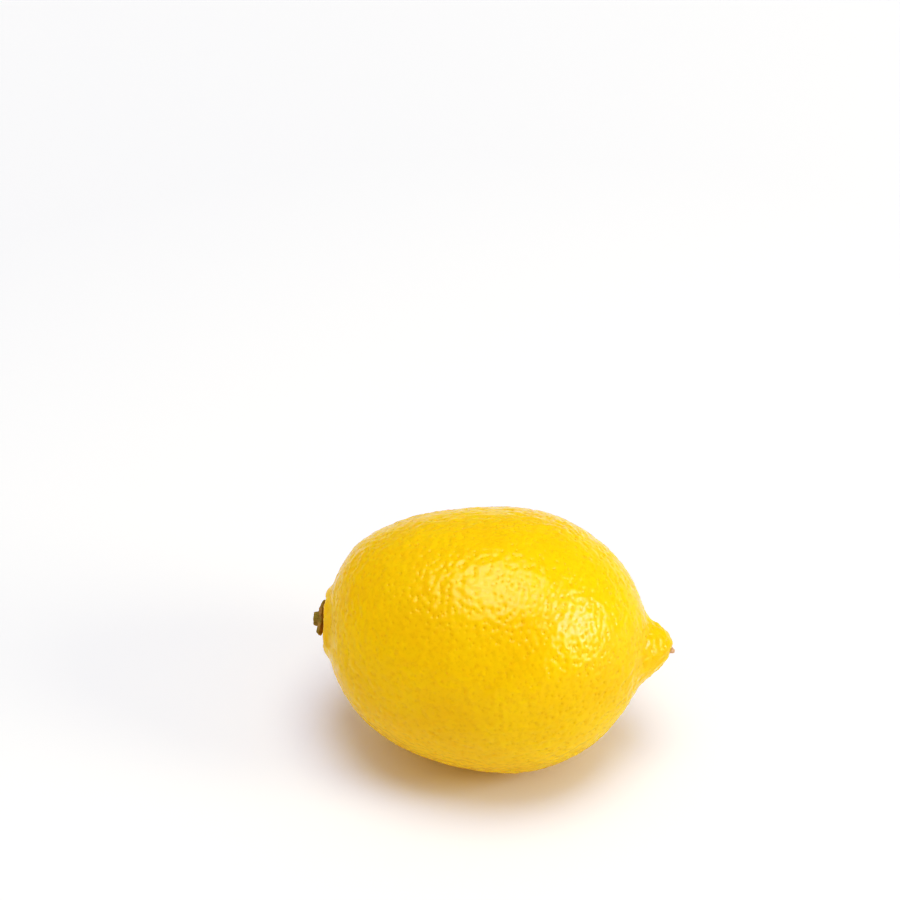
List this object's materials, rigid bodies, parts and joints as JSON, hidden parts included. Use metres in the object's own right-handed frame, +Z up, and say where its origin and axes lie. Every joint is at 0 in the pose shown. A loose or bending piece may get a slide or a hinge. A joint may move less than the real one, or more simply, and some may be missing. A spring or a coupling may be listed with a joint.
{
  "type": "lemon",
  "caption": "Whole lemon lying on its side, with a nipple at one end and a lobed calyx button with a short cut stalk at the other.",
  "frame": {"origin": "on the flat spot that the fruit rests on, under its widest section", "axes": "+X along the fruit towards the nipple, +Z up from the surface it lies on"},
  "size_m": [0.085, 0.0624, 0.0617],
  "materials": {
    "rind": "satin, waxy, dimpled with oil glands",
    "dry_calyx": "matte, dry, slightly green",
    "dry_style": "matte, dry, brown"
  },
  "bodies": {
    "root": {"fruit": "rind", "calyx": "dry_calyx", "style_stub": "dry_style"}
  },
  "joints": []
}
